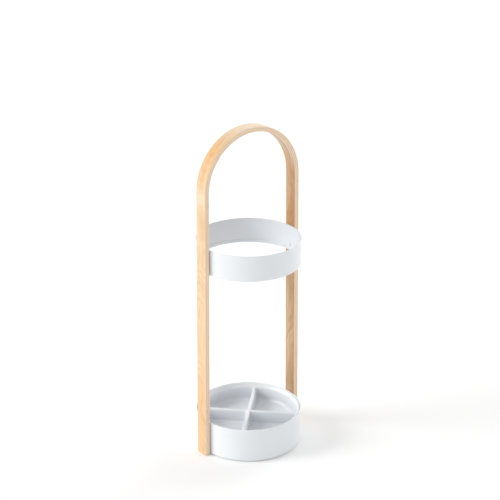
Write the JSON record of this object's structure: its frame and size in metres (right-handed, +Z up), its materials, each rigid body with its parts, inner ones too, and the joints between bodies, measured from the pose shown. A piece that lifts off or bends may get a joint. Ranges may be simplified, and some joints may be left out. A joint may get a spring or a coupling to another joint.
{
  "type": "umbrella stand",
  "caption": "Umbrella stand with a bent-laminated wooden arch, a guard ring at mid height and a weighted round base with a divided lift-out drip tray.",
  "frame": {"origin": "centre of the round base on the floor", "axes": "+Z up, the legs of the arch stand at +X and -X, +Y to the rear"},
  "size_m": [0.2274, 0.206, 0.642],
  "materials": {
    "oak_face": "clear satin lacquer over light straight-grained veneer",
    "oak_core": "lacquered edge of the inner plies, slightly darker glue lines",
    "white_steel": "satin white powder coat",
    "white_screw": "satin white, cross recess",
    "white_shell": "satin white moulding",
    "white_tray": "satin white moulding with soft corners",
    "plated_steel": "bright zinc plate",
    "brass_insert": "plain turned brass",
    "nylon_washer": "natural white nylon",
    "ballast_iron": "black paint over a cast surface",
    "foot_rubber": "matt black rubber"
  },
  "bodies": {
    "stand": {"arch_outer_veneer": "oak_face", "arch_outer_core": "oak_core", "arch_centre_core": "oak_core", "arch_inner_core": "oak_core", "arch_inner_veneer": "oak_face", "upper_ring": "white_steel", "ring_screws": "white_screw", "ring_inserts": "brass_insert", "ring_spacers": "nylon_washer", "base_shell": "white_shell", "base_screws": "plated_steel", "base_inserts": "brass_insert", "base_spacers": "nylon_washer", "ballast_disc": "ballast_iron", "ballast_washers": "plated_steel", "ballast_screws": "plated_steel", "foot_front_left": "foot_rubber", "foot_front_right": "foot_rubber", "foot_rear_left": "foot_rubber", "foot_rear_right": "foot_rubber"},
    "tray": {"drip_tray": "white_tray"}
  },
  "joints": [
    {"name": "tray_lift", "type": "slide", "parent": "stand", "child": "tray", "axis": [0, 0, 1], "range_m": [0, 0.12]}
  ]
}
